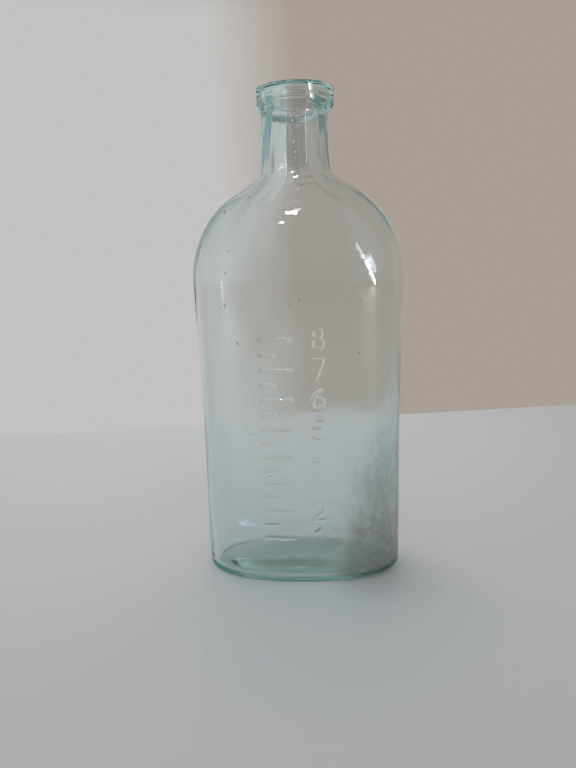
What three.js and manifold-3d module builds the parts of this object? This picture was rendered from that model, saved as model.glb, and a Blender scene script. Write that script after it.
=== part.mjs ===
// Empty medicine bottle of pale aqua glass, oval in plan, with a lip of glass laid on over the end of the neck.
// Millimetres, +Z up. The origin is at the middle of the resting plane, the front faces -Y, the width runs along X.
import * as THREE from 'three';
import Module from 'manifold-3d';
import { mergeVertices } from 'three/addons/utils/BufferGeometryUtils.js';

// Driving dimensions of the outside
const overallHeight = 215;
const bodyWidth = 93;
const bodyDepth = 47;
const bodyHeight = 137.5; // up to the line where the shoulder springs from the straight side
const shoulderRiseFront = 44.3; // rise of the shoulder's arch above that line, seen from the front
const shoulderRiseSide = 53; // the same arch seen from the side, which the neck cuts short
const shoulderPowerFront = 2.1; // 2 is a quarter ellipse, more than 2 is a fuller shoulder
const shoulderPowerSide = 2;
const ovalPower = 2.3; // 2 is a true ellipse, more than 2 is a squarer oval
const heelRadius = 3.5;
const neckRootDiameter = 29.2;
const neckTopDiameter = 27;
const neckFilletFront = 11; // how far the shoulder and the neck run into each other, seen from the front
const neckFilletSide = 4; // the same seen from the side
const neckFlare = 1.3; // how much further the neck's root spreads across the width
const neckFlareReach = 3.2; // height over which that flare dies away
const neckFlareDrop = 1.5; // how far below the neck's root it starts to

// Driving dimensions of the inside and of the base
const lowerWall = 3.4;
const shoulderWall = 1.8;
const wallChangeStart = 40; // heights between which the wall thins out
const wallChangeEnd = 150;
const boreDiameter = 20; // at the mouth
const boreRootDiameter = 26; // at the neck's root
const boreSpreadPower = 1.3; // 1 is a straight taper, more than 1 spreads towards the root
const boreBlendBelow = 4; // the inside of the shoulder turns into the bore from here below the neck's root
const boreBlendAbove = 10; // to here above it
const baseThickness = 1.9; // at the rim of the floor
const floorRadius = 3.2; // round corner between the floor and the wall
const floorDome = 4.8; // rise of the floor at its middle
const floorDomePower = 4; // the higher, the flatter the dome's top
const baseWallHeight = 7.9; // straight wall above the floor's corner that belongs to the base
const pushUp = 0.4; // rise of the base's hollow underside at its middle
const pushUpPower = 6; // the higher, the flatter the hollow
const restWidth = 5; // width of the flat ring that the bottle stands on

// Driving dimensions of the applied lip
const lipDiameter = 32.3;
const lipHeight = 9.6;
const lipBevelHeight = 2.3; // sloping underside of the lip
const lipLowerLand = 0.6; // flat lower edge of the lip, next to the neck
const lipDraft = 0.25; // how much the lip's face draws in from its rim down to the bevel
const lipCover = 3; // glass of the lip that lies over the neck's end
const lipOuterRound = 0.6;
const lipInnerRound = 2.2;
const lipClearance = 0.3; // between the neck's outside and the lip's inside

// Driving dimensions of the raised dose scale on the front
const doseCount = 8;
const firstDoseHeight = 24;
const dosePitch = 13;
const doseMarkLength = 14;
const halfDoseMarkLength = 7;
const doseMarkHeight = 1.6;
const doseMarkRelief = 0.6;
const doseMarksLeft = -17; // where every mark starts, measured from the bottle's middle

// How finely the round shapes are divided
const sectorCount = 56;
const heelSteps = 4;
const floorSteps = 5;
const bodySteps = 4;
const shoulderSteps = 12;
const neckSteps = 7;
const neckCrowding = 1.7; // 1 spaces the neck's levels evenly, more than 1 crowds them at its root
const lipRoundSteps = 3;
const offsetSteps = 24;

// Levels and spans worked out from the driving dimensions
const halfWidth = bodyWidth / 2;
const halfDepth = bodyDepth / 2;
const boreRadius = boreDiameter / 2;
const lipRadius = lipDiameter / 2;
const floorCornerTop = baseThickness + floorRadius;
const baseTop = floorCornerTop + baseWallHeight;
const neckRoot = bodyHeight + shoulderRiseFront;
const neckTop = overallHeight - lipCover;
const lipBottom = overallHeight - lipHeight;

const glass = new THREE.MeshStandardMaterial({
  color: '#a9c9bf',
  roughness: 0.06,
  metalness: 0,
  transparent: true,
  opacity: 0.4,
});

// Share of the way from the shoulder's spring line up to the neck's root, from 0 to 1.
function climbAt(z) {
  return THREE.MathUtils.clamp((z - bodyHeight) / (neckRoot - bodyHeight), 0, 1);
}

// The larger of two spans, with the corner between them rounded where they differ by less than the blend.
function smoothMax(first, second, blend) {
  const near = Math.max(blend - Math.abs(first - second), 0);
  return Math.max(first, second) + (blend > 0 ? near ** 2 / (4 * blend) : 0);
}

// Half span of an arch that springs from the body's side. Past its top it falls away below zero.
function archHalf(z, half, rise, power) {
  const left = 1 - (Math.max(z - bodyHeight, 0) / rise) ** power;
  return half * Math.sign(left) * Math.abs(left) ** (1 / power);
}

// Share of the way from the neck's root up to its top, from 0 to 1.
function neckShare(z) {
  return THREE.MathUtils.clamp((z - neckRoot) / (neckTop - neckRoot), 0, 1);
}

// Outside radius of the neck, which tapers from its root to the lip.
function neckRadius(z) {
  return THREE.MathUtils.lerp(neckRootDiameter, neckTopDiameter, neckShare(z)) / 2;
}

// How much further the neck spreads across the width, close to its root.
function neckFlareAt(z) {
  return neckFlare * Math.exp(-Math.max(z - neckRoot + neckFlareDrop, 0) / neckFlareReach);
}

// Radius of the bore, which widens from the mouth to the neck's root.
function boreRadiusAt(z) {
  return THREE.MathUtils.lerp(boreDiameter, boreRootDiameter, (1 - neckShare(z)) ** boreSpreadPower) / 2;
}

// One level of a wall: half width, half depth, height, and the power of its oval, which is round at the neck.
function level(halfX, halfY, z) {
  return { halfX, halfY, z, power: THREE.MathUtils.lerp(ovalPower, 2, climbAt(z)) };
}

// Outside of the bottle at a height above the heel, where the shoulder's two arches run into the neck.
function outerLevel(z) {
  const archFront = archHalf(z, halfWidth, shoulderRiseFront, shoulderPowerFront);
  const archSide = archHalf(z, halfDepth, shoulderRiseSide, shoulderPowerSide);
  return level(
    smoothMax(archFront, neckRadius(z) + neckFlareAt(z), neckFilletFront * climbAt(z)),
    smoothMax(archSide, neckRadius(z), neckFilletSide * climbAt(z)),
    z,
  );
}

// Thickness of the wall: heavy low down, and thin at the shoulder, where the glass was blown out furthest.
function wallAt(z) {
  const share = THREE.MathUtils.smoothstep(z, wallChangeStart, wallChangeEnd);
  return THREE.MathUtils.lerp(lowerWall, shoulderWall, share);
}

// Inside of the bottle at a height above the floor's corner: the outside drawn in square to its profile, which is
// the least of the spans close by, each less a circle's rise. At the neck's root it turns into the bore.
function innerLevel(z) {
  const wall = wallAt(z);
  const nearby = shares(offsetSteps).map((share) => {
    const step = wall * (2 * share - 1);
    const rise = Math.sqrt(wall ** 2 - step ** 2);
    const { halfX, halfY } = outerLevel(z + step);
    return new THREE.Vector2(halfX - rise, halfY - rise);
  });
  const drawnIn = nearby.reduce((least, spans) => least.min(spans));
  const intoBore = THREE.MathUtils.smoothstep(z, neckRoot - boreBlendBelow, neckRoot + boreBlendAbove);
  const bore = boreRadiusAt(z);
  return level(
    THREE.MathUtils.lerp(drawnIn.x, bore, intoBore),
    THREE.MathUtils.lerp(drawnIn.y, bore, intoBore),
    z,
  );
}

// The body's oval drawn in by an inset, at a height.
function insetLevel(inset, z) {
  return level(halfWidth - inset, halfDepth - inset, z);
}

// A round level about the bottle's axis.
function roundLevel(radius, z) {
  return level(radius, radius, z);
}

// Points of one level, counter-clockwise seen from above: a superellipse.
function ringPoints({ halfX, halfY, z, power }) {
  return Array.from({ length: sectorCount }, (_, i) => {
    const angle = (2 * Math.PI * i) / sectorCount;
    const along = (value) => Math.sign(value) * Math.abs(value) ** (2 / power);
    return [halfX * along(Math.cos(angle)), halfY * along(Math.sin(angle)), z];
  });
}

// Closed surface through a run of levels. A run whose ends have no width starts and ends in a point on the axis,
// and any other run closes on itself. The run goes up the outside and down the inside.
function ovalLathe(levels) {
  const positions = levels.flatMap(ringPoints).flat();
  const triangles = [];
  levels.forEach((_, row) => {
    const next = (row + 1) % levels.length;
    for (let i = 0; i < sectorCount; i++) {
      const j = (i + 1) % sectorCount;
      const [a, b] = [row * sectorCount + i, row * sectorCount + j];
      const [c, d] = [next * sectorCount + i, next * sectorCount + j];
      triangles.push(a, b, d, a, d, c);
    }
  });
  const geometry = new THREE.BufferGeometry();
  geometry.setAttribute('position', new THREE.Float32BufferAttribute(positions, 3));
  geometry.setIndex(triangles);
  return geometry;
}

// Evenly spaced shares from 0 to 1, both ends included.
function shares(steps) {
  return Array.from({ length: steps + 1 }, (_, i) => i / steps);
}

// Quarter round between two directions about a centre given as inset and height.
function quarterRound(centre, radius, from, to, steps, makeLevel) {
  return shares(steps).map((share) => {
    const angle = THREE.MathUtils.lerp(from, to, share);
    return makeLevel(centre.x + radius * Math.cos(angle), centre.y + radius * Math.sin(angle));
  });
}

// Base: hollow underside, flat resting ring, round heel, a short wall, then down the floor's corner to its middle.
function baseLevels() {
  const recess = { x: halfWidth - heelRadius - restWidth, y: halfDepth - heelRadius - restWidth };
  const floor = { x: halfWidth - lowerWall - floorRadius, y: halfDepth - lowerWall - floorRadius };
  const underside = shares(floorSteps).map((share) =>
    level(recess.x * share, recess.y * share, pushUp * (1 - share ** pushUpPower)));
  const heel = quarterRound(new THREE.Vector2(heelRadius, heelRadius), heelRadius,
    -Math.PI / 2, -Math.PI, heelSteps, insetLevel);
  const corner = quarterRound(new THREE.Vector2(lowerWall + floorRadius, floorCornerTop), floorRadius,
    -Math.PI, -Math.PI / 2, heelSteps, insetLevel);
  const floorTop = shares(floorSteps).slice(0, -1).reverse().map((share) =>
    level(floor.x * share, floor.y * share, baseThickness + floorDome * (1 - share ** floorDomePower)));
  return [...underside, ...heel, outerLevel(baseTop), innerLevel(baseTop), ...corner, ...floorTop];
}

// A stretch of wall between two heights, with the outside and the inside divided alike.
function wallLevels(heights) {
  return [...heights.map(outerLevel), ...heights.toReversed().map(innerLevel)];
}

// Heights of the body's straight side.
function bodyHeights() {
  return shares(bodySteps).map((share) => THREE.MathUtils.lerp(baseTop, bodyHeight, share));
}

// Heights of the shoulder, closer together towards the neck, where the arch flattens.
function shoulderHeights() {
  return shares(shoulderSteps).map((share) => bodyHeight + shoulderRiseFront * Math.sin((share * Math.PI) / 2));
}

// Heights of the neck, up to the seat of the lip, closer together at its root.
function neckHeights() {
  return shares(neckSteps).map((share) => THREE.MathUtils.lerp(neckRoot, neckTop, share ** neckCrowding));
}

// The lip: over the neck's end, round the mouth, down the outside and in along the bevel under it.
function lipLevels() {
  const seatRadius = (z) => neckRadius(z) + lipClearance;
  const outerRound = quarterRound(new THREE.Vector2(lipRadius - lipOuterRound, overallHeight - lipOuterRound),
    lipOuterRound, 0, Math.PI / 2, lipRoundSteps, roundLevel);
  const innerRound = quarterRound(new THREE.Vector2(boreRadius + lipInnerRound, overallHeight - lipInnerRound),
    lipInnerRound, Math.PI / 2, Math.PI, lipRoundSteps, roundLevel);
  return [
    roundLevel(seatRadius(lipBottom) + lipLowerLand, lipBottom),
    roundLevel(lipRadius - lipDraft, lipBottom + lipBevelHeight),
    ...outerRound,
    ...innerRound,
    roundLevel(boreRadius, neckTop),
    roundLevel(seatRadius(neckTop), neckTop),
    roundLevel(seatRadius(lipBottom), lipBottom),
  ];
}

const wasm = await Module();
wasm.setup();

// Solid of a closed geometry, for joining and cutting.
function solidOf(geometry) {
  const bare = new THREE.BufferGeometry();
  bare.setAttribute('position', geometry.getAttribute('position'));
  bare.setIndex(geometry.getIndex());
  const merged = mergeVertices(bare);
  return new wasm.Manifold(new wasm.Mesh({
    numProp: 3,
    vertProperties: merged.getAttribute('position').array,
    triVerts: Uint32Array.from(merged.getIndex().array),
  }));
}

// Geometry of a solid.
function geometryOf(solid) {
  const { vertProperties, triVerts } = solid.getMesh();
  const geometry = new THREE.BufferGeometry();
  geometry.setAttribute('position', new THREE.BufferAttribute(vertProperties, 3));
  geometry.setIndex(new THREE.BufferAttribute(triVerts, 1));
  return geometry;
}

// Skin that the raised marks are cut from: sunk in the wall by half its thinnest, and proud of it by their relief.
function markSkin() {
  const rims = [baseTop, bodyHeight];
  return solidOf(ovalLathe([
    ...rims.map((z) => insetLevel(-doseMarkRelief, z)),
    ...rims.toReversed().map((z) => insetLevel(shoulderWall / 2, z)),
  ]));
}

// Block that a raised mark is cut out with: it covers the front of the skin only.
function markBlock(length, z) {
  const block = new THREE.BoxGeometry(length, bodyDepth, doseMarkHeight);
  return solidOf(block.translate(doseMarksLeft + length / 2, -bodyDepth / 2 - doseMarkRelief, z));
}

// Body wall with the dose scale: a long mark for each dose and a short one half way to the next.
function bodyGeometry() {
  const skin = markSkin();
  let body = solidOf(ovalLathe(wallLevels(bodyHeights())));
  for (let dose = 0; dose < doseCount; dose++) {
    const z = firstDoseHeight + dose * dosePitch;
    body = body.add(skin.intersect(markBlock(doseMarkLength, z)));
    if (dose < doseCount - 1) {
      body = body.add(skin.intersect(markBlock(halfDoseMarkLength, z + dosePitch / 2)));
    }
  }
  return geometryOf(body);
}

const bottle = new THREE.Group();

function addPiece(name, geometry) {
  const mesh = new THREE.Mesh(geometry, glass);
  mesh.name = name;
  geometry.computeVertexNormals();
  bottle.add(mesh);
}

addPiece('base', ovalLathe(baseLevels()));
addPiece('body', bodyGeometry());
addPiece('shoulder', ovalLathe(wallLevels(shoulderHeights())));
addPiece('neck', ovalLathe(wallLevels(neckHeights())));
addPiece('applied_lip', ovalLathe(lipLevels()));

export default bottle;
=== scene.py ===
import math

import bpy
import numpy as np
from mathutils import Matrix, Vector


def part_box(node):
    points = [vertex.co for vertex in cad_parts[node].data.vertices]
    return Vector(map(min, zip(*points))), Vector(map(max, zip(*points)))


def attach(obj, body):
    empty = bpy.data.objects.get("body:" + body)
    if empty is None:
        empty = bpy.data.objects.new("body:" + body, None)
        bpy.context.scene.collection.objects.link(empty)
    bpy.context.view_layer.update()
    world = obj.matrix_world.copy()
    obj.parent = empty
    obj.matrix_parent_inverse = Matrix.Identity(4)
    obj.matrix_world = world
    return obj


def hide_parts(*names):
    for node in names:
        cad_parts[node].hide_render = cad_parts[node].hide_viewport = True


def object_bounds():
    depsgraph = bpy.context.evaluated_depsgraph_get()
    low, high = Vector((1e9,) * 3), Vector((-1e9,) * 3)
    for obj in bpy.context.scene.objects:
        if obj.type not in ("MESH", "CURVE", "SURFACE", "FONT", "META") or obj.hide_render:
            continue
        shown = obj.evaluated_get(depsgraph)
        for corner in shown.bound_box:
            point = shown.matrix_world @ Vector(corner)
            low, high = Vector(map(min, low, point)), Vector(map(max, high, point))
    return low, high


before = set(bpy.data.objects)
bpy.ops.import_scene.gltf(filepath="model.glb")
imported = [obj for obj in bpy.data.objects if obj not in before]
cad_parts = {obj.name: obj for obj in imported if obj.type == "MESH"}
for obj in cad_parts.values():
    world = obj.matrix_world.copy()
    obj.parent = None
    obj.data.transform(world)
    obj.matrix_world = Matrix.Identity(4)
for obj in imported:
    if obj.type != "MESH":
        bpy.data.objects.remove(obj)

cad_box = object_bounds()
MM = 0.001

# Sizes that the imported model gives, in metres
HALF_WIDTH = cad_box[1].x
HALF_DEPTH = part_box("base")[1].y
BASE_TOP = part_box("body")[0].z
SPRING_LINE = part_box("shoulder")[0].z
NECK_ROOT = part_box("neck")[0].z
NECK_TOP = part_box("neck")[1].z
LIP_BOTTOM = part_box("applied_lip")[0].z
LIP_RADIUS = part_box("applied_lip")[1].x
TOP = cad_box[1].z

# Sizes of the bottle that its boxes don't give, as in the solids
OVAL_POWER = 2.3
ROUND_POWER = 2
SHOULDER_RISE = {"front": NECK_ROOT - SPRING_LINE, "side": 53 * MM}
SHOULDER_POWER = {"front": 2.1, "side": 2}
NECK_FILLET = {"front": 11 * MM, "side": 4 * MM}
NECK_ROOT_RADIUS = 14.6 * MM
NECK_TOP_RADIUS = 13.5 * MM
NECK_FLARE = 1.3 * MM
NECK_FLARE_REACH = 3.2 * MM
NECK_FLARE_START = 1.5 * MM
HEEL_RADIUS = 3.5 * MM
LOWER_WALL = 3.4 * MM
SHOULDER_WALL = 1.8 * MM
WALL_CHANGE = (40 * MM, 150 * MM)
BORE_RADIUS = 10 * MM
BORE_ROOT_RADIUS = 13 * MM
BORE_SPREAD_POWER = 1.3
BORE_BLEND = (4 * MM, 10 * MM)
BASE_THICKNESS = 1.9 * MM
FLOOR_RADIUS = 3.2 * MM
PUSH_UP = 0.4 * MM
PUSH_UP_POWER = 6
FLOOR_DOME = 4.8 * MM
FLOOR_DOME_POWER = 4
REST_WIDTH = 5 * MM
LIP_BEVEL = 2.3 * MM
LIP_BLEND = 0.7 * MM
LIP_DRAFT = 0.25 * MM
LIP_OUTER_ROUND = 0.6 * MM
LIP_INNER_ROUND = 2.2 * MM

# How the blown glass departs from its mould; each lean is a shift to the side, a height and a reach
WAIST = 0.75 * MM
WAIST_HEIGHT = 75 * MM
WAIST_REACH = 40 * MM
BODY_LEAN = (-0.1 * MM, 142 * MM, 25 * MM)
SHOULDER_LEAN = (0.25 * MM, 158 * MM, 12 * MM)
NECK_LEAN = (-0.35 * MM, 192 * MM, 11 * MM)
LIP_SHIFT = 0.4 * MM
LIP_SHIFT_EASE = (1 * MM, 2 * MM)
SHOULDER_TILT = 0.034
TILT_HEIGHT = 177 * MM
TILT_REACH = 6 * MM

# Unevenness of each surface, and the stretches over which it dies away
OUTER_RIPPLE = 0.04 * MM
RIPPLE_ROOM = 0.12 * MM
RIPPLE_EASE = 8 * MM
LIP_UNEVENNESS = 0.07 * MM
LIP_SINK = 0.8
LIP_FOOT_EASE = 2 * MM
LIP_TOP_EASE = 4 * MM
INNER_SWELL = 0.2 * MM
SWELL_FLOOR_EASE = 12 * MM
SWELL_TOP_EASE = 20 * MM
LEAST_SWELL = 0.1
BORE_FLUTES = 0.05 * MM
MOUTH_RINGS = 0.1 * MM
MOUTH_RINGS_EASE = (3 * MM, 1 * MM)

# Waves of that unevenness: a number that starts the draws, how many, lobes round, and lengths in metres
RIPPLE_WAVES = (3, 14, (2, 14), (0.02, 0.09))
LIP_WAVES = (5, 8, (2, 9), (0.01, 0.05))
SWELL_WAVES = (8, 12, (1, 7), (0.05, 0.2))
FLUTE_WAVES = (12, 8, (9, 26), (0.15, 0.6))
RING_WAVES = (17, 6, (0, 3), (0.002, 0.006))

# Gas bubbles in the wall; the shares are of the radius
BUBBLES = 36
BUBBLE_DRAW = 21
BUBBLE_RADIUS = 0.42 * MM
BUBBLE_SHARES = (0.35, 1)
BUBBLE_STRETCH = (1, 1.8)
BUBBLES_FROM = 20 * MM
BUBBLES_BELOW_NECK = 8 * MM
BUBBLE_SIDES = 8
BUBBLE_RINGS = 5

# Dried residue inside the lower right
RESIDUE_TOP = 100 * MM
RESIDUE_REACH = 1.5
RESIDUE_DEPTH = 0.1 * MM
RESIDUE_THICKNESS = 0.06 * MM

# The raised dose scale
DOSES = 8
FIRST_DOSE = 24 * MM
DOSE_PITCH = 13 * MM
MARKS_LEFT = -17 * MM
MARK_LENGTH = 14 * MM
HALF_MARK_LENGTH = 7 * MM
MARK_RIDGE = 0.95 * MM
NUMERAL_LEFT = 5 * MM
NUMERAL_HEIGHT = 8.5 * MM
RELIEF = 0.5 * MM
SCALE_MARGIN = 6 * MM

# How finely the glass is divided: columns round it, crowded over the scale, and rows of each stretch
COLUMNS = 180
FRONT_CROWDING = 2.4
FRONT_HALF_WIDTH = 19 * MM
RING_SAMPLES = 4001
WALL_SAMPLES = 61
HEEL_ROWS = 7
OUTER_ROWS = {"under_scale": 14, "scale": 210, "over_scale": 12, "shoulder": 60, "neck": 26}
LIP_ROWS = {"bevel": 13, "face": 8, "round": 7, "top": 3}
INNER_ROWS = {"lip": 22, "neck": 20, "shoulder": 40, "body": 38}
FLOOR_ROWS = {"corner": 9, "dome": 12}
UNDERSIDE_ROWS = {"hollow": 11, "rest": 2}
MOUTH_STEP = 0.4 * MM

# Keeps a division away from zero
TINY = 1e-9

# Looks of the glass: noises as scale and detail, colours as red, green, blue and alpha
SMEAR = (60.0, 4.0)
FINE_RIPPLE = (170.0, 1.0)
CRIZZLE = (430.0, 1.0)
CRIZZLE_STRENGTH = 0.05
CRIZZLE_DEPTH = 0.4 * MM
SMEAR_ROUGHNESS = 0.03
SPECK_SCALE = 85.0
SPECK_SPREAD = 0.07
SPECK_EDGE = (0.035, 0.06)
CLEAR_TONE = (0.965, 0.97, 0.968, 1)
SPECK_TONE = (0.25, 0.24, 0.21, 1)
AQUA_TINT = (0.17, 0.83, 0.78, 1)
AQUA_DENSITY = 21.0
GLASS_IOR = 1.52
SHADOW_TONE = (0.995, 0.998, 0.997, 1)

# Haze inside the lower body: its roughness, and its limits across the wall and over height
INSIDE_HAZE = 0.12
HAZE_WALL = (0.86, 0.93)
HAZE_FOOT = (12 * MM, 25 * MM)
HAZE_TOP = (90 * MM, 130 * MM)

# Looks of the residue: limits in metres, and how ragged the clouds make them
NOISE_MIDDLE = 0.5
MOTTLE = (330.0, 6.0, 0.7)
MOTTLE_DRAWN = (1, 1, 0.45)
CLOUDS = (75.0, 3.0)
RESIDUE_SIDE = (8 * MM, 36 * MM)
RAGGED_SIDE = 30 * MM
RESIDUE_HEIGHT = (12 * MM, 72 * MM)
RAGGED_TOP = 50 * MM
RESIDUE_SLOPE = 1.5
RESIDUE_SLOPE_FROM = 30 * MM
MOTTLE_SHARE = 0.6
CLOUD_SHARE = 0.4
PATCH_EDGE = (0.34, 0.7)
PATCH_COVER = (0.2, 0.62)
CHALK_EDGE = (0.36, 0.95)
CHALK_CLIMB = 15
DAMP_TONE = (0.42, 0.43, 0.375, 1)
CHALK_TONE = (0.97, 1.0, 0.98, 1)
RESIDUE_ROUGHNESS = 0.9

# The camera, as the photograph was taken: distances in metres, angles in degrees
CAMERA_AZIMUTH = 1.2
CAMERA_DISTANCE = 0.2593
CAMERA_HEIGHT = 0.1562
CAMERA_PITCH = 14.28
CAMERA_PAN = -1.28
CAMERA_ROLL = -1.63
FOCAL_PIXELS = 577
LONG_SIDE_PIXELS = 768
SENSOR = 36
NEAREST_SEEN = 0.01

# The floor
FLOOR_BACK = 0.226
FLOOR_SLANT = 0.137
FLOOR_SLANT_REACH = 0.6
FLOOR_REACH = 2.5
FLOOR_DROP = 0.3 * MM
FLOOR_TONE = (0.5, 0.5, 0.51, 1)
FLOOR_ROUGHNESS = 0.6

# The room: colours, and limits as parts of a unit direction
WALL_TONES = [(0.43, (0.55, 0.54, 0.53, 1)), (0.49, (0.40, 0.345, 0.30, 1))]
ROOM_TONE = (0.28, 0.35, 0.4, 1)
ROOM_SIDE_TONE = (0.36, 0.6, 0.76, 1)
SOFT_TONE = (0.3, 0.3, 0.3, 1)
ROOM_BEFORE = (-0.6, -0.1)
ROOM_SIDES = (0.4, 0.75)

# Painted shade in the room, at its sides, over its top and behind the neck, and how much of red, green and
# blue, or of all, it takes
SIDE_SHADE_EDGE = (0.4, 0.5)
SIDE_SHADE_FOOT = (0.22, 0.33)
SIDE_SHADE_TAKES = (0.6, 0.36, 0.28)
TOP_SHADE_FOOT = (0.31, 0.4)
TOP_SHADE_EDGE = (0.18, 0.3)
TOP_SHADE_TAKES = (0.35, 0.1)
NECK_SHADE_MIDDLE = 0.005
NECK_SHADE_EDGE = (0.07, 0.15)
NECK_SHADE_FOOT = (0.07, 0.19)
NECK_SHADE_TOP = (0.27, 0.31)
NECK_SHADE_TAKES = 0.3

# Lamps that the glass mirrors: azimuth and elevation, distance, size, power, lean and colour
AIM_HEIGHT = 0.1
WHITE = (1, 1, 1)
DAYLIGHT = (0.7, 0.86, 1)
MIRRORED_LAMPS = {
    "window_light": (49.2, 4.6, 1.6, (0.065, 0.5), 4.0, 37, WHITE),
    "window_top_light": (40.6, 15.8, 1.6, (0.05, 0.26), 0.33, 37, WHITE),
    "window_pane_light": (51.8, 9.5, 1.62, (0.14, 0.3), 1.1, 37, DAYLIGHT),
    "ceiling_light_left": (-11.5, 29.8, 1.3, (0.075, 0.03), 0.5, 0, WHITE),
    "ceiling_light_right": (-4.8, 35.4, 1.3, (0.16, 0.04), 1.3, 0, WHITE),
}

# Soft lamps that the glass doesn't show: place, aim, size and power
SOFT_LAMPS = {
    "soft_overhead": ((-0.12, 0.3, 0.65), (-0.1, 0.25, 0), (0.7, 0.4), 3.7),
    "soft_front": ((0.12, -0.4, 0.4), (0.01, -0.04, 0.02), (0.35, 0.35), 0.1),
}

# How often light may bounce
LIGHT_BOUNCES = 24


# Meshes

def add_mesh(name, points, faces, material):
    """Makes a piece of points and faces, smooth all over, standing at the origin."""
    mesh = bpy.data.meshes.new(name)
    mesh.from_pydata(points.reshape(-1, 3), [], faces)
    mesh.polygons.foreach_set("use_smooth", np.ones(len(mesh.polygons), bool))
    mesh.materials.append(material)
    mesh.update()
    piece = bpy.data.objects.new(name, mesh)
    bpy.context.scene.collection.objects.link(piece)
    return piece


def grid_faces(rows, columns):
    """Quads of a grid that closes on itself across its columns."""
    row = np.arange(rows - 1)[:, None] * columns
    here = np.arange(columns)[None, :]
    after = (here + 1) % columns
    quads = np.stack([row + here, row + after, row + columns + after, row + columns + here], axis=-1)
    return quads.reshape(-1, 4).tolist()


def fan_faces(pole, ring_start, columns, upward):
    """Triangles from a pole to a ring."""
    here = ring_start + np.arange(columns)
    after = ring_start + (np.arange(columns) + 1) % columns
    middle = np.full(columns, pole)
    order = [here, after, middle] if upward else [after, here, middle]
    return np.stack(order, axis=-1).tolist()


def rows_up_to(start, end, rows):
    """Even rows from a start up to, but not at, an end."""
    return np.linspace(start, end, rows, endpoint=False)


def rows_after(start, end, rows):
    """Even rows up to an end, without the start."""
    return np.linspace(start, end, rows + 1)[1:]


def rows_inside(start, end, rows):
    """Even rows between two ends, without either."""
    return np.linspace(start, end, rows + 2)[1:-1]


# Profile of the bottle, as the solids have it

def share_of(value, reach):
    """A value as a share of a reach, held between zero and one."""
    return np.clip(value / reach, 0, 1)


def smooth_step(share):
    """Three squares less two cubes of a share, which starts and ends level."""
    return share ** 2 * (3 - 2 * share)


def ease_between(z, low, high):
    """Zero below one height and one above another, with a smooth step between."""
    return smooth_step(share_of(z - low, high - low))


def swell_at(z, height, reach):
    """A bell curve over height."""
    return np.exp(-((z - height) / reach) ** 2)


def climb_at(z):
    """Share of the way from the spring line to the neck's root."""
    return share_of(z - SPRING_LINE, NECK_ROOT - SPRING_LINE)


def power_at(z):
    """Power of the oval, which turns round towards the neck."""
    return OVAL_POWER + (ROUND_POWER - OVAL_POWER) * climb_at(z)


def smooth_max(first, second, blend):
    """The larger of two spans, its corner rounded where they differ by less than the blend."""
    near = np.maximum(blend - np.abs(first - second), 0)
    return np.maximum(first, second) + near ** 2 / np.maximum(4 * blend, TINY)


def arch_half(z, half, view):
    """Half span of an arch over the spring line: a quarter superellipse, below zero past its top."""
    power = SHOULDER_POWER[view]
    left = 1 - (np.maximum(z - SPRING_LINE, 0) / SHOULDER_RISE[view]) ** power
    return half * np.sign(left) * np.abs(left) ** (1 / power)


def neck_radius(z):
    """Radius of the neck: a straight taper from root to top."""
    share = share_of(z - NECK_ROOT, NECK_TOP - NECK_ROOT)
    return NECK_ROOT_RADIUS + (NECK_TOP_RADIUS - NECK_ROOT_RADIUS) * share


def neck_flare(z):
    """How far the neck's root spreads across the width: a flare that dies away from just below it."""
    return NECK_FLARE * np.exp(-np.maximum(z - NECK_ROOT + NECK_FLARE_START, 0) / NECK_FLARE_REACH)


def bore_radius(z):
    """Radius of the bore, which widens by a power of the way down from the neck's top to its root."""
    share = share_of(NECK_TOP - z, NECK_TOP - NECK_ROOT)
    return BORE_RADIUS + (BORE_ROOT_RADIUS - BORE_RADIUS) * share ** BORE_SPREAD_POWER


def outer_spans(z):
    """Half width and half depth of the outside, where both arches run into the neck."""
    across = arch_half(z, HALF_WIDTH, "front")
    across = smooth_max(across, neck_radius(z) + neck_flare(z), NECK_FILLET["front"] * climb_at(z))
    through = arch_half(z, HALF_DEPTH, "side")
    through = smooth_max(through, neck_radius(z), NECK_FILLET["side"] * climb_at(z))
    return [across - WAIST * swell_at(z, WAIST_HEIGHT, WAIST_REACH), through]


def wall_at(z):
    """Thickness of the wall: heavy low down, thin at the shoulder, where it was blown out furthest."""
    return LOWER_WALL + (SHOULDER_WALL - LOWER_WALL) * ease_between(z, *WALL_CHANGE)


def drawn_in_spans(z, wall):
    """The outside's half spans drawn in square to the profile.

    Each is the least, over nearby heights, of the span less a circle's rise.
    """
    step = np.linspace(-1, 1, WALL_SAMPLES) * wall[:, None]
    rise = np.sqrt(np.maximum(wall[:, None] ** 2 - step ** 2, 0))
    return [(span - rise).min(axis=1) for span in outer_spans(z[:, None] + step)]


def inner_spans(z):
    """Half spans of the inside: the outside drawn in by the wall, easing into the bore at the neck."""
    share = ease_between(z, NECK_ROOT - BORE_BLEND[0], NECK_ROOT + BORE_BLEND[1])
    return [span + (bore_radius(z) - span) * share for span in drawn_in_spans(z, wall_at(z))]


def bent(value, power):
    """A cosine or sine raised to two over the oval's power, its sign kept."""
    return np.sign(value) * np.abs(value) ** (2 / power)


def oval(half_x, half_y, z, power, angle):
    """Points of a stack of superellipses: each coordinate is its half span times a bent cosine or sine."""
    x = half_x[:, None] * bent(np.cos(angle)[None, :], power[:, None])
    y = half_y[:, None] * bent(np.sin(angle)[None, :], power[:, None])
    return np.stack([x, y, np.broadcast_to(z[:, None], x.shape)], axis=-1)


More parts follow.
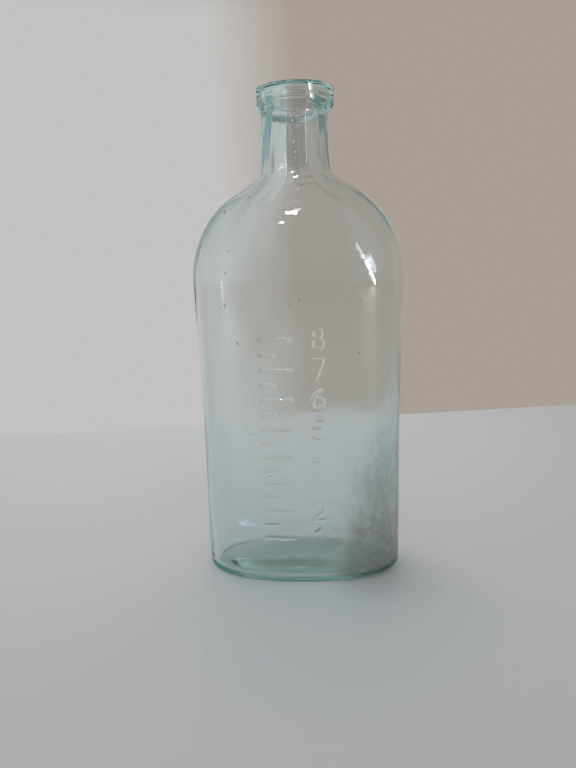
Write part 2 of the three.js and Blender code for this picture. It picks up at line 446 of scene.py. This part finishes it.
def outward(half_x, half_y, power, points):
    """Level unit vectors square to each oval: the gradient of its equation."""
    hx = np.maximum(half_x, TINY)[:, None]
    hy = np.maximum(half_y, TINY)[:, None]
    grade = power[:, None] - 1
    gx = np.sign(points[..., 0]) * np.abs(points[..., 0] / hx) ** grade / hx
    gy = np.sign(points[..., 1]) * np.abs(points[..., 1] / hy) ** grade / hy
    length = np.maximum(np.hypot(gx, gy), TINY)
    return np.stack([gx / length, gy / length, np.zeros_like(gx)], axis=-1)


def column_angles():
    """Angles of the columns: evenly spaced round the body's oval, but crowded over the front face."""
    fine = np.linspace(0, 2 * math.pi, RING_SAMPLES)
    one = np.ones(1)
    ring = oval(one * HALF_WIDTH, one * HALF_DEPTH, one * 0, one * OVAL_POWER, fine)[0]
    step = np.linalg.norm(np.diff(ring, axis=0), axis=1)
    middle = (ring[1:] + ring[:-1]) / 2
    front = (middle[:, 1] < 0) & (np.abs(middle[:, 0]) < FRONT_HALF_WIDTH)
    travel = np.concatenate([[0], np.cumsum(step * np.where(front, FRONT_CROWDING, 1))])
    return np.interp(rows_up_to(0, travel[-1], COLUMNS), travel, fine)


# Raised scale

def arc(cx, cy, radius, start, end, steps=10):
    """Points of an arc, in degrees."""
    turn = np.radians(np.linspace(start, end, steps))
    return np.stack([cx + radius * np.cos(turn), cy + radius * np.sin(turn)], axis=-1)


def numeral_strokes():
    """Strokes of the numerals 1 to 8 in a box one unit high: straight runs and arcs."""
    return {
        1: [np.array([(0.12, 0.8), (0.34, 1), (0.34, 0)])],
        2: [np.concatenate([arc(0.3, 0.7, 0.3, 165, -38), [(0, 0), (0.62, 0)]])],
        3: [arc(0.28, 0.75, 0.25, 150, -90), arc(0.28, 0.25, 0.27, 90, -150)],
        4: [np.array([(0.46, 0), (0.46, 1), (0, 0.3), (0.64, 0.3)])],
        5: [np.concatenate([[(0.56, 1), (0.12, 1), (0.08, 0.55)], arc(0.28, 0.31, 0.31, 118, -150)])],
        6: [arc(0.3, 0.29, 0.29, 0, 360, 18), arc(0.72, 0.29, 0.71, 180, 108)],
        7: [np.array([(0, 1), (0.6, 1), (0.2, 0)])],
        8: [arc(0.3, 0.76, 0.23, 0, 360, 14), arc(0.3, 0.27, 0.28, 0, 360, 16)],
    }


def scale_segments():
    """Ends of every straight piece of the scale on the front face, as (x, z) pairs."""
    starts, ends = [], []
    strokes = numeral_strokes()
    left = MARKS_LEFT + MARK_RIDGE
    for dose in range(DOSES):
        z = FIRST_DOSE + dose * DOSE_PITCH
        marks = [(z, MARK_LENGTH)]
        if dose < DOSES - 1:
            marks.append((z + DOSE_PITCH / 2, HALF_MARK_LENGTH))
        runs = [np.array([(left, up), (MARKS_LEFT + length - MARK_RIDGE, up)]) for up, length in marks]
        corner = np.array([NUMERAL_LEFT, z - NUMERAL_HEIGHT / 2])
        runs += [corner + stroke * NUMERAL_HEIGHT for stroke in strokes[dose + 1]]
        for run in runs:
            starts.append(run[:-1])
            ends.append(run[1:])
    return np.concatenate(starts), np.concatenate(ends)


def scale_relief(points):
    """Height of the scale over each point of the front: half a cosine wave across each stroke."""
    starts, ends = scale_segments()
    shape = points.shape[:2]
    flat = points[..., [0, 2]].reshape(-1, 2)
    height = np.zeros(len(flat))
    near = (points[..., 1].ravel() < 0) & (np.abs(flat[:, 0]) < FRONT_HALF_WIDTH)
    spot = flat[near][:, None, :]
    run = (ends - starts)[None]
    share = ((spot - starts[None]) * run).sum(-1) / np.maximum((run ** 2).sum(-1), TINY)
    closest = starts[None] + np.clip(share, 0, 1)[..., None] * run
    distance = np.linalg.norm(spot - closest, axis=-1).min(axis=1)
    height[near] = RELIEF * (1 + np.cos(math.pi * np.minimum(distance / MARK_RIDGE, 1))) / 2
    return height.reshape(shape)


# Hand-made unevenness

def waves(angle, z, start, count, lobes, lengths):
    """Sum of plane waves over angle and height, each with a whole number of lobes, scaled to about one."""
    draw = np.random.default_rng(start)
    total = np.zeros((len(z), len(angle)))
    for _ in range(count):
        lobe = draw.integers(lobes[0], lobes[1] + 1)
        wavelength = draw.uniform(*lengths) * draw.choice([-1, 1])
        phase = draw.uniform(0, 2 * math.pi)
        total += np.sin(lobe * angle[None, :] + 2 * math.pi * z[:, None] / wavelength + phase)
    return total / math.sqrt(count)


def crooked(points):
    """Points moved as hand-made glass stands.

    They shift sideways by bells over height and a step at the lip, and tilt by a bell.
    """
    x, y, z = np.moveaxis(points, -1, 0)
    for shift, height, reach in (BODY_LEAN, SHOULDER_LEAN, NECK_LEAN):
        x = x + shift * swell_at(z, height, reach)
    x = x + LIP_SHIFT * ease_between(z, LIP_BOTTOM - LIP_SHIFT_EASE[0], LIP_BOTTOM + LIP_SHIFT_EASE[1])
    return np.stack([x, y, z + SHOULDER_TILT * x * swell_at(z, TILT_HEIGHT, TILT_REACH)], axis=-1)


# The glass

def outer_rows():
    """Rows of the outside from the heel to the lip's lower edge: half spans and heights."""
    turn = rows_up_to(0, math.pi / 2, HEEL_ROWS)
    inset = HEEL_RADIUS * (1 - np.sin(turn))
    heel = (HALF_WIDTH - inset, HALF_DEPTH - inset, HEEL_RADIUS * (1 - np.cos(turn)))
    scale_low = FIRST_DOSE - SCALE_MARGIN
    scale_high = FIRST_DOSE + (DOSES - 1) * DOSE_PITCH + SCALE_MARGIN
    climb = np.sin(rows_up_to(0, math.pi / 2, OUTER_ROWS["shoulder"]))
    z = np.concatenate([
        rows_up_to(HEEL_RADIUS, scale_low, OUTER_ROWS["under_scale"]),
        rows_up_to(scale_low, scale_high, OUTER_ROWS["scale"]),
        rows_up_to(scale_high, SPRING_LINE, OUTER_ROWS["over_scale"]),
        SPRING_LINE + SHOULDER_RISE["front"] * climb,
        np.linspace(NECK_ROOT, LIP_BOTTOM - LIP_BLEND, OUTER_ROWS["neck"]),
    ])
    return [np.concatenate(pair) for pair in zip(heel, (*outer_spans(z), z))]


def lip_rows():
    """Rows of the lip: bevel, face, rounded rim, flat top and rounded mouth."""
    turn = np.linspace(0, math.pi / 2, LIP_ROWS["round"])
    share = rows_after(0, 1, LIP_ROWS["bevel"])
    foot = neck_radius(LIP_BOTTOM)
    face_foot = LIP_RADIUS - LIP_DRAFT
    top_edge = LIP_RADIUS - LIP_OUTER_ROUND
    radius = np.concatenate([
        foot + (face_foot - foot) * smooth_step(share),
        rows_inside(face_foot, LIP_RADIUS, LIP_ROWS["face"]),
        LIP_RADIUS - LIP_OUTER_ROUND * (1 - np.cos(turn)),
        rows_inside(top_edge, BORE_RADIUS + LIP_INNER_ROUND, LIP_ROWS["top"]),
        BORE_RADIUS + LIP_INNER_ROUND * (1 - np.sin(turn)),
    ])
    z = np.concatenate([
        LIP_BOTTOM - LIP_BLEND + (LIP_BEVEL + 2 * LIP_BLEND) * share,
        rows_inside(LIP_BOTTOM + LIP_BEVEL + LIP_BLEND, TOP - LIP_OUTER_ROUND, LIP_ROWS["face"]),
        TOP - LIP_OUTER_ROUND * (1 - np.sin(turn)),
        np.full(LIP_ROWS["top"], TOP),
        TOP - LIP_INNER_ROUND * (1 - np.cos(turn)),
    ])
    return radius, radius, z


def inner_rows():
    """Rows of the inside from the mouth down to the floor's round corner and in to its middle."""
    floor_corner = BASE_THICKNESS + FLOOR_RADIUS
    fall = np.sin(rows_up_to(math.pi / 2, 0, INNER_ROWS["shoulder"]))
    z = np.concatenate([
        rows_up_to(TOP - LIP_INNER_ROUND - MOUTH_STEP, LIP_BOTTOM, INNER_ROWS["lip"]),
        rows_up_to(LIP_BOTTOM, NECK_ROOT, INNER_ROWS["neck"]),
        SPRING_LINE + SHOULDER_RISE["front"] * fall,
        rows_up_to(SPRING_LINE, floor_corner, INNER_ROWS["body"]),
    ])
    turn = np.linspace(0, math.pi / 2, FLOOR_ROWS["corner"])
    inset = LOWER_WALL + FLOOR_RADIUS * (1 - np.cos(turn))
    corner = (HALF_WIDTH - inset, HALF_DEPTH - inset, floor_corner - FLOOR_RADIUS * np.sin(turn))
    share = rows_inside(1, 0, FLOOR_ROWS["dome"])
    dome = BASE_THICKNESS + FLOOR_DOME * (1 - share ** FLOOR_DOME_POWER)
    floor = (corner[0][-1] * share, corner[1][-1] * share, dome)
    return [np.concatenate(group) for group in zip((*inner_spans(z), z), corner, floor)]


def underside_rows():
    """Rows of the underside from near its middle out over the hollow and across the resting ring."""
    ring_x = HALF_WIDTH - HEEL_RADIUS - REST_WIDTH
    ring_y = HALF_DEPTH - HEEL_RADIUS - REST_WIDTH
    share = rows_after(0, 1, UNDERSIDE_ROWS["hollow"])
    rest = rows_inside(0, REST_WIDTH, UNDERSIDE_ROWS["rest"])
    return (
        np.concatenate([ring_x * share, ring_x + rest]),
        np.concatenate([ring_y * share, ring_y + rest]),
        np.concatenate([PUSH_UP * (1 - share ** PUSH_UP_POWER), np.zeros_like(rest)]),
    )


def blown_skin(angle):
    """Points of the underside, outside, lip and inside, and the inside's level normals.

    Each is a stack of ovals, pushed along its normals by waves that die away at its ends.
    """
    rows = {"underside": underside_rows(), "outside": outer_rows(), "lip": lip_rows(), "inside": inner_rows()}
    stretches = {}
    for name, (half_x, half_y, z) in rows.items():
        power = power_at(z)
        points = oval(half_x, half_y, z, power, angle)
        stretches[name] = (points, outward(half_x, half_y, power, points), z)
    outside, away, z = stretches["outside"]
    ripple = OUTER_RIPPLE * waves(angle, z, *RIPPLE_WAVES) - RIPPLE_ROOM
    settle = share_of(z, RIPPLE_EASE) * share_of(LIP_BOTTOM - z, RIPPLE_EASE)
    outside += away * (ripple * settle[:, None] + scale_relief(outside))[..., None]
    lip, away, z = stretches["lip"]
    tooling = LIP_UNEVENNESS * (waves(angle, z, *LIP_WAVES) - LIP_SINK)
    settle = share_of(z - LIP_BOTTOM, LIP_FOOT_EASE) * share_of(TOP - z, LIP_TOP_EASE)
    lip += away * (tooling * settle[:, None])[..., None]
    inside, away, z = stretches["inside"]
    swell = INNER_SWELL * waves(angle, z, *SWELL_WAVES)
    settle = share_of(z, SWELL_FLOOR_EASE) * np.maximum(share_of(TOP - z, SWELL_TOP_EASE), LEAST_SWELL)
    flutes = BORE_FLUTES * waves(angle, z, *FLUTE_WAVES) * climb_at(z)[:, None]
    in_mouth = ease_between(z, LIP_BOTTOM - MOUTH_RINGS_EASE[0], LIP_BOTTOM + MOUTH_RINGS_EASE[1])
    rings = MOUTH_RINGS * waves(angle, z, *RING_WAVES) * in_mouth[:, None]
    inside += away * (swell * settle[:, None] + flutes + rings)[..., None]
    return {name: crooked(points) for name, (points, _, _) in stretches.items()}, away


def seed_bubbles(first):
    """Small gas bubbles in the middle of the wall: upright ellipsoids, each a short grid between two poles.

    Their faces point into the gas, and their corners are counted on from the first.
    """
    draw = np.random.default_rng(BUBBLE_DRAW)
    z = draw.uniform(BUBBLES_FROM, NECK_ROOT - BUBBLES_BELOW_NECK, BUBBLES)
    angle = draw.uniform(0, 2 * math.pi, BUBBLES)
    half_x, half_y = drawn_in_spans(z, wall_at(z) / 2)
    x = half_x * bent(np.cos(angle), power_at(z))
    y = half_y * bent(np.sin(angle), power_at(z))
    middle = crooked(np.stack([x, y, z], axis=-1))
    radius = BUBBLE_RADIUS * draw.uniform(*BUBBLE_SHARES, BUBBLES)
    length = radius * draw.uniform(*BUBBLE_STRETCH, BUBBLES)
    turn = rows_up_to(0, 2 * math.pi, BUBBLE_SIDES)[None, :]
    tilt = rows_inside(-math.pi / 2, math.pi / 2, BUBBLE_RINGS)[:, None]
    ball = np.broadcast_arrays(np.cos(tilt) * np.cos(turn), np.cos(tilt) * np.sin(turn), np.sin(tilt))
    unit = np.concatenate([np.stack(ball, axis=-1).reshape(-1, 3), [(0, 0, -1), (0, 0, 1)]])
    size = np.stack([radius, radius, length], axis=-1)
    points = middle[:, None, :] + unit[None] * size[:, None, :]
    low_pole = BUBBLE_RINGS * BUBBLE_SIDES
    fans = fan_faces(low_pole, 0, BUBBLE_SIDES, False)
    fans += fan_faces(low_pole + 1, low_pole - BUBBLE_SIDES, BUBBLE_SIDES, True)
    starts = first + np.arange(BUBBLES)[:, None, None] * len(unit)
    faces = []
    for shell in (grid_faces(BUBBLE_RINGS, BUBBLE_SIDES), fans):
        turned_in = np.array(shell)[:, ::-1]
        faces += (starts + turned_in).reshape(-1, turned_in.shape[1]).tolist()
    return points.reshape(-1, 3), faces


def bottle_glass(skin, material):
    """The whole glass as one closed skin, with its bubbles.

    Its rows run up the outside, over the lip and down the inside, and both ends close on a pole.
    """
    rows = np.concatenate(list(skin.values()))
    low_pole = len(rows) * COLUMNS
    high_pole = low_pole + 1
    poles = np.array([(0, 0, PUSH_UP), (0, 0, BASE_THICKNESS + FLOOR_DOME)])
    bubbles, bubble_faces = seed_bubbles(high_pole + 1)
    points = np.concatenate([rows.reshape(-1, 3), poles, bubbles])
    faces = grid_faces(len(rows), COLUMNS)
    faces += fan_faces(low_pole, 0, COLUMNS, False)
    faces += fan_faces(high_pole, low_pole - COLUMNS, COLUMNS, True)
    return add_mesh("bottle_glass", points, faces + bubble_faces, material)


def residue_film(inside, away, angle, material):
    """Dried residue inside the lower right: a patch of the inner skin moved just into the glass.

    Two layers of it, at two depths along its normals, are closed at the rim.
    """
    low = inside[:, 0, 2] < RESIDUE_TOP
    turn = (angle + math.pi) % (2 * math.pi) - math.pi
    order = np.argsort(turn)
    order = order[np.abs(turn[order]) < RESIDUE_REACH]
    on_floor = (inside[low, 0, 2] < BASE_TOP)[:, None, None]
    into_glass = away[low][:, order] - np.array([0, 0, 1]) * on_floor
    sheet = inside[low][:, order]
    shallow = sheet + into_glass * RESIDUE_DEPTH
    deep = sheet + into_glass * (RESIDUE_DEPTH + RESIDUE_THICKNESS)
    loop = np.concatenate([shallow, deep[:, ::-1]], axis=1)
    rows, columns = loop.shape[:2]
    faces = grid_faces(rows, columns)
    side = np.arange(columns // 2 - 1)
    rim = np.stack([side, side + 1, columns - 2 - side, columns - 1 - side], axis=-1)
    faces += rim[:, ::-1].tolist()
    faces += (rim + (rows - 1) * columns).tolist()
    return add_mesh("residue_film", loop, faces, material)


# Materials

class Wire:
    """A shader socket that takes part in Python expressions: each operator adds a Math node."""

    def __init__(self, finish, socket):
        self.finish = finish
        self.socket = socket

    def math(self, operation, first, second):
        return self.finish.node("ShaderNodeMath", {"operation": operation}, {0: first, 1: second})

    def __add__(self, other):
        return self.math("ADD", self, other)

    def __sub__(self, other):
        return self.math("SUBTRACT", self, other)

    def __rsub__(self, other):
        return self.math("SUBTRACT", other, self)

    def __mul__(self, other):
        return self.math("MULTIPLY", self, other)

    def __pow__(self, other):
        return self.math("POWER", self, other)

    def absolute(self):
        return self.math("ABSOLUTE", self, 0)

    __radd__ = __add__
    __rmul__ = __mul__

    def step(self, limits, ends=(0.0, 1.0), kind="SMOOTHSTEP"):
        """One end below the limits, the other above them, and a smooth or straight step between."""
        inputs = dict(enumerate((self, *limits, *ends)))
        return self.finish.node("ShaderNodeMapRange", {"interpolation_type": kind}, inputs)

    def also(self, output):
        """Another output of the same node."""
        return Wire(self.finish, self.socket.node.outputs[output])


class Finish:
    """A node tree under construction."""

    def __init__(self, tree):
        self.tree = tree
        tree.nodes.clear()

    def node(self, kind, settings=None, inputs=None, output=0):
        """Adds a node of a kind, with its settings first and then its inputs' values or links."""
        made = self.tree.nodes.new(kind)
        for name, value in (settings or {}).items():
            if name == "stops":
                ramp = made.color_ramp.elements
                while len(ramp) < len(value):
                    ramp.new(1)
                for stop, (place, colour) in zip(ramp, value):
                    stop.position = place
                    stop.color = colour
            else:
                setattr(made, name, value)
        for name, value in (inputs or {}).items():
            if isinstance(value, Wire):
                self.tree.links.new(value.socket, made.inputs[name])
            else:
                made.inputs[name].default_value = value
        return Wire(self, made.outputs[output]) if len(made.outputs) else None

    def axes(self, vector):
        """The three parts of a vector."""
        split = self.node("ShaderNodeSeparateXYZ", inputs={0: vector})
        return [split.also(axis) for axis in "XYZ"]

    def noise(self, place, scale, detail, roughness=0.5):
        """Cloudy noise over a place."""
        inputs = {"Vector": place, "Scale": scale, "Detail": detail, "Roughness": roughness}
        return self.node("ShaderNodeTexNoise", inputs=inputs)

    def mix(self, share, first, second, blend="MIX"):
        """Two colours blended by a share of the second."""
        settings = {"data_type": "RGBA", "blend_type": blend}
        return self.node("ShaderNodeMix", settings, {0: share, 6: first, 7: second}, output=2)


FALLING = (1.0, 0.0)


def new_finish(name):
    """An empty material and its node tree."""
    material = bpy.data.materials.new(name)
    material.use_nodes = True
    return material, Finish(material.node_tree)


def aqua_glass():
    """Pale aqua glass: clear, faintly wavy, with dark specks, tinted by its own thickness.

    It is hazed where the oval's own equation says inside, between the floor and the shoulder.
    """
    material, finish = new_finish("aqua_glass")
    place = finish.node("ShaderNodeTexCoord", output="Object")
    x, y, z = finish.axes(place)
    smear = finish.noise(place, *SMEAR)
    waviness = finish.noise(place, *FINE_RIPPLE) + finish.noise(place, *CRIZZLE)
    bump = finish.node("ShaderNodeBump", inputs={
        "Strength": CRIZZLE_STRENGTH,
        "Distance": CRIZZLE_DEPTH,
        "Height": waviness,
    })
    grains = finish.node("ShaderNodeTexVoronoi", inputs={"Vector": place, "Scale": SPECK_SCALE})
    chance = finish.node("ShaderNodeSeparateColor", inputs={0: grains.also("Color")})
    speck = (grains + chance * SPECK_SPREAD).step(SPECK_EDGE, FALLING, "LINEAR")
    across = (x * (1 / HALF_WIDTH)).absolute() ** OVAL_POWER
    through = (y * (1 / HALF_DEPTH)).absolute() ** OVAL_POWER
    haze = (across + through).step(HAZE_WALL, FALLING) * z.step(HAZE_FOOT) * z.step(HAZE_TOP, FALLING)
    glass = finish.node("ShaderNodeBsdfPrincipled", inputs={
        "Base Color": finish.mix(speck, CLEAR_TONE, SPECK_TONE),
        "Roughness": smear * SMEAR_ROUGHNESS + haze * INSIDE_HAZE,
        "IOR": GLASS_IOR,
        "Transmission Weight": 1.0,
        "Normal": bump,
    })
    lets_lamps_in = finish.node("ShaderNodeBsdfTransparent", inputs={"Color": SHADOW_TONE})
    shadow_ray = finish.node("ShaderNodeLightPath", output="Is Shadow Ray")
    surface = finish.node("ShaderNodeMixShader", inputs={0: shadow_ray, 1: glass, 2: lets_lamps_in})
    tint = finish.node("ShaderNodeVolumeAbsorption", inputs={"Color": AQUA_TINT, "Density": AQUA_DENSITY})
    finish.node("ShaderNodeOutputMaterial", inputs={"Surface": surface, "Volume": tint})
    return material


def dried_residue():
    """Grey-white bloom: mottled, thick near the floor and the right side.

    It thins out upwards and towards the middle, by smooth steps that clouds make ragged.
    """
    material, finish = new_finish("dried_residue")
    place = finish.node("ShaderNodeTexCoord", output="Object")
    x, _, z = finish.axes(place)
    drawn = finish.node("ShaderNodeVectorMath", {"operation": "MULTIPLY"}, {0: place, 1: MOTTLE_DRAWN})
    mottle = finish.noise(drawn, *MOTTLE)
    clouds = finish.noise(place, *CLOUDS)
    drift = clouds - NOISE_MIDDLE
    sideways = (x + drift * RAGGED_SIDE).step(RESIDUE_SIDE)
    slope = (x - RESIDUE_SLOPE_FROM) * RESIDUE_SLOPE
    upwards = (z + drift * RAGGED_TOP - slope).step(RESIDUE_HEIGHT, FALLING)
    patches = (mottle * MOTTLE_SHARE + clouds * CLOUD_SHARE).step(PATCH_EDGE, PATCH_COVER)
    chalk = (mottle * MOTTLE_SHARE + z * CHALK_CLIMB).step(CHALK_EDGE, kind="LINEAR")
    bloom = finish.node("ShaderNodeBsdfPrincipled", inputs={
        "Base Color": finish.mix(chalk, DAMP_TONE, CHALK_TONE),
        "Roughness": RESIDUE_ROUGHNESS,
        "Alpha": sideways * upwards * patches,
    })
    finish.node("ShaderNodeOutputMaterial", inputs={"Surface": bloom})
    return material


# Stage, light and camera

def floor_material():
    """Plain pale grey, slightly satin."""
    material, finish = new_finish("pale_floor")
    inputs = {"Base Color": FLOOR_TONE, "Roughness": FLOOR_ROUGHNESS}
    floor = finish.node("ShaderNodeBsdfPrincipled", inputs=inputs)
    finish.node("ShaderNodeOutputMaterial", inputs={"Surface": floor})
    return material


def pale_floor():
    """A plain table top that ends a little behind the bottle, at a slight slant."""
    near = FLOOR_BACK - FLOOR_SLANT * FLOOR_SLANT_REACH
    far = FLOOR_BACK + FLOOR_SLANT * FLOOR_SLANT_REACH
    plan = [
        (-FLOOR_REACH, -FLOOR_REACH), (FLOOR_REACH, -FLOOR_REACH), (FLOOR_REACH, far),
        (FLOOR_SLANT_REACH, far), (-FLOOR_SLANT_REACH, near), (-FLOOR_REACH, near),
    ]
    corners = np.array([(x, y, -FLOOR_DROP) for x, y in plan])
    floor = add_mesh("pale_floor", corners, [tuple(range(len(plan)))], floor_material())


def studio_world():
    """Soft even light, and for the eye and the glass a room that is told apart by direction.

    It has a pale wall behind the bottle, which darkens to the right and, by painted shade, over the top, and
    a dimmer, cooler room before it, cooler still at the sides in mirrored light. Painted shade beside and
    behind the neck dims the wall for the glass alone.
    """
    world = bpy.data.worlds.new("studio")
    bpy.context.scene.world = world
    world.use_nodes = True
    finish = Finish(world.node_tree)
    x, y, z = finish.axes(finish.node("ShaderNodeTexCoord", output="Generated"))
    off_side = x.absolute()
    eye = finish.node("ShaderNodeLightPath", output="Is Camera Ray")
    mirror = eye.also("Is Glossy Ray")
    through = eye.also("Is Transmission Ray")
    in_glass = 1 - eye
    wall = finish.node("ShaderNodeValToRGB", {"stops": WALL_TONES}, {0: x * 0.5 + 0.5})
    # Painted shade over the top of the wall, deeper straight behind than towards the sides
    painted_top_shade = z.step(TOP_SHADE_FOOT) * off_side.step(TOP_SHADE_EDGE, TOP_SHADE_TAKES)
    # Painted shade high up at the sides of the room, which only the glass shows; it takes more red than green
    # and blue
    painted_side_shade = off_side.step(SIDE_SHADE_EDGE) * z.step(SIDE_SHADE_FOOT) * in_glass
    # Painted shade on the wall behind the neck, which only the glass shows; it darkens the middle of the neck
    behind_neck = (x - NECK_SHADE_MIDDLE).absolute().step(NECK_SHADE_EDGE, FALLING)
    neck_height = z.step(NECK_SHADE_FOOT) * z.step(NECK_SHADE_TOP, FALLING)
    painted_neck_shade = behind_neck * neck_height * in_glass * NECK_SHADE_TAKES
    level = (1 - painted_neck_shade) * (1 - painted_top_shade)
    levels = [(1 - painted_side_shade * takes) * level for takes in SIDE_SHADE_TAKES]
    dimmed = finish.node("ShaderNodeCombineColor", inputs=dict(enumerate(levels)))
    ahead = finish.mix(1.0, wall, dimmed, "MULTIPLY")
    room = finish.mix(off_side.step(ROOM_SIDES) * mirror, ROOM_TONE, ROOM_SIDE_TONE)
    seen = finish.mix(y.step(ROOM_BEFORE, FALLING), ahead, room)
    clamped_sum = {"operation": "ADD", "use_clamp": True}
    shown = finish.node("ShaderNodeMath", clamped_sum, {0: eye + mirror, 1: through})
    tone = finish.mix(shown, SOFT_TONE, seen)
    light = finish.node("ShaderNodeBackground", inputs={"Color": tone, "Strength": 1.0})
    finish.node("ShaderNodeOutputWorld", inputs={"Surface": light})


def area_lamp(name, place, aim, size, power, lean=0, tint=WHITE):
    """A rectangular lamp at a place, turned to face a point and leaning by some degrees."""
    data = bpy.data.lights.new(name, "AREA")
    data.shape = "RECTANGLE"
    data.size, data.size_y = size
    data.energy = power
    data.color = tint
    lamp = bpy.data.objects.new(name, data)
    lamp.location = place
    facing = (Vector(aim) - Vector(place)).to_track_quat("-Z", "Y").to_matrix()
    lamp.rotation_euler = (facing @ Matrix.Rotation(math.radians(lean), 3, "Z")).to_euler()
    lamp.visible_camera = False
    bpy.context.scene.collection.objects.link(lamp)
    return lamp


def sky_point(azimuth, elevation, distance):
    """A point at a distance from the bottle's middle, its azimuth counted from the front to the right."""
    turn, climb = math.radians(azimuth), math.radians(elevation)
    level = distance * math.cos(climb)
    return (level * math.sin(turn), -level * math.cos(turn), AIM_HEIGHT + distance * math.sin(climb))


def studio_lamps():
    """Small lamps whose images the glass mirrors, and soft ones that it doesn't show."""
    for name, (azimuth, elevation, distance, *lamp) in MIRRORED_LAMPS.items():
        area_lamp(name, sky_point(azimuth, elevation, distance), (0, 0, AIM_HEIGHT), *lamp)
    for name, lamp in SOFT_LAMPS.items():
        soft = area_lamp(name, *lamp)
        soft.visible_glossy = False
        soft.visible_transmission = False


def photo_camera():
    """The camera where the photograph was taken from: round the bottle, then panned, pitched and rolled."""
    turn = math.radians(CAMERA_AZIMUTH)
    place = Vector((CAMERA_DISTANCE * math.sin(turn), -CAMERA_DISTANCE * math.cos(turn), CAMERA_HEIGHT))
    heading = math.radians(CAMERA_AZIMUTH - CAMERA_PAN)
    ahead = Vector((-math.sin(heading), math.cos(heading), 0))
    right = Vector((math.cos(heading), math.sin(heading), 0))
    pitch = math.radians(CAMERA_PITCH)
    look = ahead * math.cos(pitch) - Vector((0, 0, math.sin(pitch)))
    up = ahead * math.sin(pitch) + Vector((0, 0, math.cos(pitch)))
    roll = math.radians(CAMERA_ROLL)
    side = right * math.cos(roll) + up * math.sin(roll)
    top = up * math.cos(roll) - right * math.sin(roll)
    data = bpy.data.cameras.new("photo_camera")
    data.sensor_width = SENSOR
    data.lens = SENSOR * FOCAL_PIXELS / LONG_SIDE_PIXELS
    data.clip_start = NEAREST_SEEN
    camera = bpy.data.objects.new("photo_camera", data)
    turned = Matrix((side, top, -look)).transposed().to_4x4()
    camera.matrix_world = Matrix.Translation(place) @ turned
    bpy.context.scene.collection.objects.link(camera)
    bpy.context.scene.camera = camera


scene = bpy.context.scene
scene.view_settings.view_transform = "Standard"
scene.cycles.max_bounces = LIGHT_BOUNCES
scene.cycles.transmission_bounces = LIGHT_BOUNCES
scene.cycles.glossy_bounces = LIGHT_BOUNCES
scene.cycles.transparent_max_bounces = LIGHT_BOUNCES
scene.cycles.caustics_refractive = False
scene.cycles.caustics_reflective = False

photo_camera()
pale_floor()
studio_world()
studio_lamps()

columns = column_angles()
skin, inner_normals = blown_skin(columns)
glass = bottle_glass(skin, aqua_glass())
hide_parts("base", "body", "shoulder", "neck", "applied_lip")
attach(glass, "root")
residue = residue_film(skin["inside"], inner_normals, columns, dried_residue())
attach(residue, "root")
